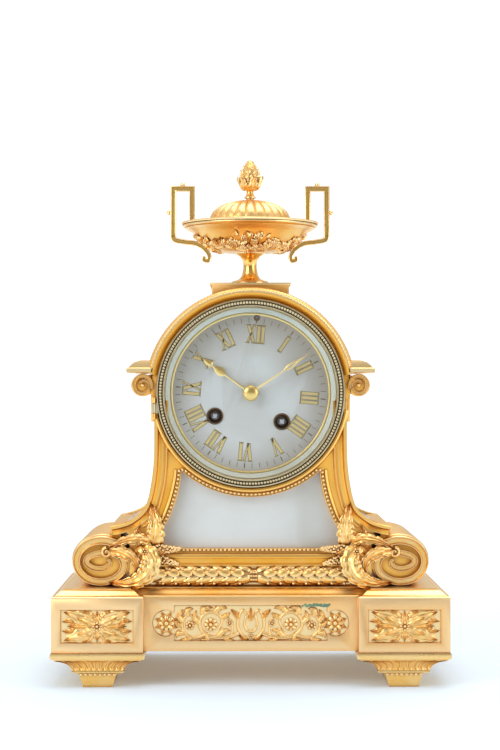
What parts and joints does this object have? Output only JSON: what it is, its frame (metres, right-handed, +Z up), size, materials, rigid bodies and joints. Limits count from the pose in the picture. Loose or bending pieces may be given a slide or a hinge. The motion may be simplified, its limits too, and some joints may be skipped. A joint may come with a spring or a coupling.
{
  "type": "mantel clock",
  "caption": "Gilt-bronze and white onyx mantel clock with an arched top, an urn with square handles, and a striking movement.",
  "frame": {"origin": "under the middle of the plinth, on the surface the four feet stand on", "axes": "+X to the right as the dial is read, +Y back from the dial, +Z up"},
  "size_m": [0.2604, 0.1504, 0.3517],
  "materials": {
    "gilt_bronze": "fire-gilt, satin with burnished edges",
    "aged_gilt": "gilt with darker beads",
    "plain_brass": "brushed",
    "bell_metal": "turned",
    "steel": "polished",
    "spring_steel": "blued",
    "onyx": "polished white onyx",
    "dial_onyx": "polished white onyx",
    "clear_glass": "polished"
  },
  "bodies": {
    "case": {"feet": "gilt_bronze", "plinth_body": "gilt_bronze", "plinth_top": "gilt_bronze", "plinth_plaques": "gilt_bronze", "front_frame": "gilt_bronze", "back_frame": "gilt_bronze", "side_scrolls": "gilt_bronze", "side_panels": "onyx", "front_panel": "onyx", "laurel_moulding": "gilt_bronze", "corner_mounts": "gilt_bronze", "roof": "plain_brass", "cornice": "gilt_bronze", "urn_block": "gilt_bronze", "urn_socle": "gilt_bronze", "urn_bowl": "gilt_bronze", "urn_lid": "gilt_bronze", "finial": "gilt_bronze", "urn_handles": "gilt_bronze", "bezel_seat": "plain_brass", "back_ring": "plain_brass", "dial": "dial_onyx", "dial_ring": "gilt_bronze", "case_fasteners": "steel", "front_plate": "plain_brass", "back_plate": "plain_brass", "pillars": "plain_brass", "suspension_cock": "plain_brass", "bell": "bell_metal", "bell_stand": "steel"},
    "bezel": {"bezel": "aged_gilt", "glass": "clear_glass"},
    "back_door": {"back_door": "plain_brass"},
    "centre": {"centre_wheel": "plain_brass", "cannon_pinion": "plain_brass", "minute_hand": "gilt_bronze", "hand_nut": "gilt_bronze"},
    "hour": {"hour_wheel": "plain_brass", "hour_hand": "gilt_bronze"},
    "minute": {"minute_wheel": "plain_brass"},
    "going_barrel": {"going_barrel": "plain_brass", "going_mainspring": "spring_steel"},
    "going_arbor": {"going_winding_arbor": "steel"},
    "going_click": {"going_click": "steel"},
    "going_second": {"going_second_wheel": "plain_brass"},
    "third": {"third_wheel": "plain_brass"},
    "escape": {"escape_wheel": "plain_brass"},
    "anchor": {"escape_anchor": "steel"},
    "pendulum": {"pendulum_rod": "steel", "pendulum_bob": "plain_brass"},
    "strike_barrel": {"strike_barrel": "plain_brass", "strike_mainspring": "spring_steel"},
    "strike_arbor": {"strike_winding_arbor": "steel"},
    "strike_click": {"strike_click": "steel"},
    "strike_second": {"strike_second_wheel": "plain_brass", "count_wheel": "plain_brass"},
    "pin": {"pin_wheel": "plain_brass"},
    "fly": {"fly": "steel"},
    "hammer": {"hammer": "steel"},
    "rate": {"rate_arbor": "steel"}
  },
  "joints": [
    {"name": "bezel_hinge", "type": "hinge", "parent": "case", "child": "bezel", "pos_m": [-0.0637, -0.0596, 0.181], "axis": [0, 0, -1], "range_deg": [0, 115]},
    {"name": "door_hinge", "type": "hinge", "parent": "case", "child": "back_door", "pos_m": [0.0516, 0.0612, 0.191], "axis": [0, 0, -1], "range_deg": [0, 110]},
    {"name": "minute_turn", "type": "hinge", "parent": "case", "child": "centre", "pos_m": [0, 0, 0.191], "axis": [0, 1, 0], "continuous": true},
    {"name": "hour_turn", "type": "hinge", "parent": "case", "child": "hour", "pos_m": [0, 0, 0.191], "axis": [0, 1, 0], "continuous": true},
    {"name": "minute_wheel_turn", "type": "hinge", "parent": "case", "child": "minute", "pos_m": [0.001, 0, 0.20296], "axis": [0, 1, 0], "continuous": true},
    {"name": "going_second_turn", "type": "hinge", "parent": "case", "child": "going_second", "pos_m": [-0.00059, 0, 0.17251], "axis": [0, 1, 0], "continuous": true},
    {"name": "going_barrel_turn", "type": "hinge", "parent": "case", "child": "going_barrel", "pos_m": [0.02078, 0, 0.17199], "axis": [0, 1, 0], "continuous": true},
    {"name": "third_turn", "type": "hinge", "parent": "case", "child": "third", "pos_m": [0.01242, 0, 0.2033], "axis": [0, 1, 0], "continuous": true},
    {"name": "escape_turn", "type": "hinge", "parent": "case", "child": "escape", "pos_m": [0.00201, 0, 0.21492], "axis": [0, 1, 0], "continuous": true},
    {"name": "going_winding", "type": "hinge", "parent": "case", "child": "going_arbor", "pos_m": [0.02078, 0, 0.17199], "axis": [0, 1, 0], "continuous": true},
    {"name": "going_click_lift", "type": "hinge", "parent": "case", "child": "going_click", "pos_m": [0.02827, 0, 0.18021], "axis": [0, 1, 0], "range_deg": [-12, 0], "stiffness_Nm_per_rad": 0.0005, "springref_deg": 2.86},
    {"name": "strike_second_turn", "type": "hinge", "parent": "case", "child": "strike_second", "pos_m": [-0.02002, 0, 0.19679], "axis": [0, 1, 0], "continuous": true},
    {"name": "strike_barrel_turn", "type": "hinge", "parent": "case", "child": "strike_barrel", "pos_m": [-0.02366, 0, 0.17573], "axis": [0, 1, 0], "continuous": true},
    {"name": "pin_turn", "type": "hinge", "parent": "case", "child": "pin", "pos_m": [-0.01089, 0, 0.20993], "axis": [0, 1, 0], "continuous": true},
    {"name": "fly_turn", "type": "hinge", "parent": "case", "child": "fly", "pos_m": [-0.01595, 0, 0.22068], "axis": [0, 1, 0], "continuous": true},
    {"name": "strike_winding", "type": "hinge", "parent": "case", "child": "strike_arbor", "pos_m": [-0.02366, 0, 0.17573], "axis": [0, 1, 0], "continuous": true},
    {"name": "strike_click_lift", "type": "hinge", "parent": "case", "child": "strike_click", "pos_m": [-0.02967, 0, 0.18507], "axis": [0, 1, 0], "range_deg": [0, 12], "stiffness_Nm_per_rad": 0.0005, "springref_deg": -2.86},
    {"name": "pendulum_swing", "type": "hinge", "parent": "case", "child": "pendulum", "pos_m": [0.00297, 0, 0.22638], "axis": [0, 1, 0], "range_deg": [-4, 4]},
    {"name": "anchor_rock", "type": "hinge", "parent": "case", "child": "anchor", "pos_m": [0.00297, 0, 0.22638], "axis": [0, 1, 0], "range_deg": [-4, 4]},
    {"name": "hammer_lift", "type": "hinge", "parent": "case", "child": "hammer", "pos_m": [-0.04013, 0, 0.16727], "axis": [0, 1, 0], "range_deg": [-12, 0], "stiffness_Nm_per_rad": 0.001, "springref_deg": 5.73},
    {"name": "rate_turn", "type": "hinge", "parent": "case", "child": "rate", "pos_m": [0.00418, 0, 0.24082], "axis": [0, 1, 0], "continuous": true}
  ],
  "couplings": [
    {"joint": "hour_turn", "follows": "minute_turn", "ratio": 0.083333},
    {"joint": "minute_wheel_turn", "follows": "minute_turn", "ratio": -0.33333},
    {"joint": "going_second_turn", "follows": "minute_turn", "ratio": -0.15625},
    {"joint": "going_barrel_turn", "follows": "minute_turn", "ratio": 0.019531},
    {"joint": "third_turn", "follows": "minute_turn", "ratio": -10.5},
    {"joint": "escape_turn", "follows": "minute_turn", "ratio": 126},
    {"joint": "strike_barrel_turn", "follows": "strike_second_turn", "ratio": -0.125},
    {"joint": "pin_turn", "follows": "strike_second_turn", "ratio": -9},
    {"joint": "fly_turn", "follows": "strike_second_turn", "ratio": 72},
    {"joint": "anchor_rock", "follows": "pendulum_swing", "ratio": 1}
  ]
}
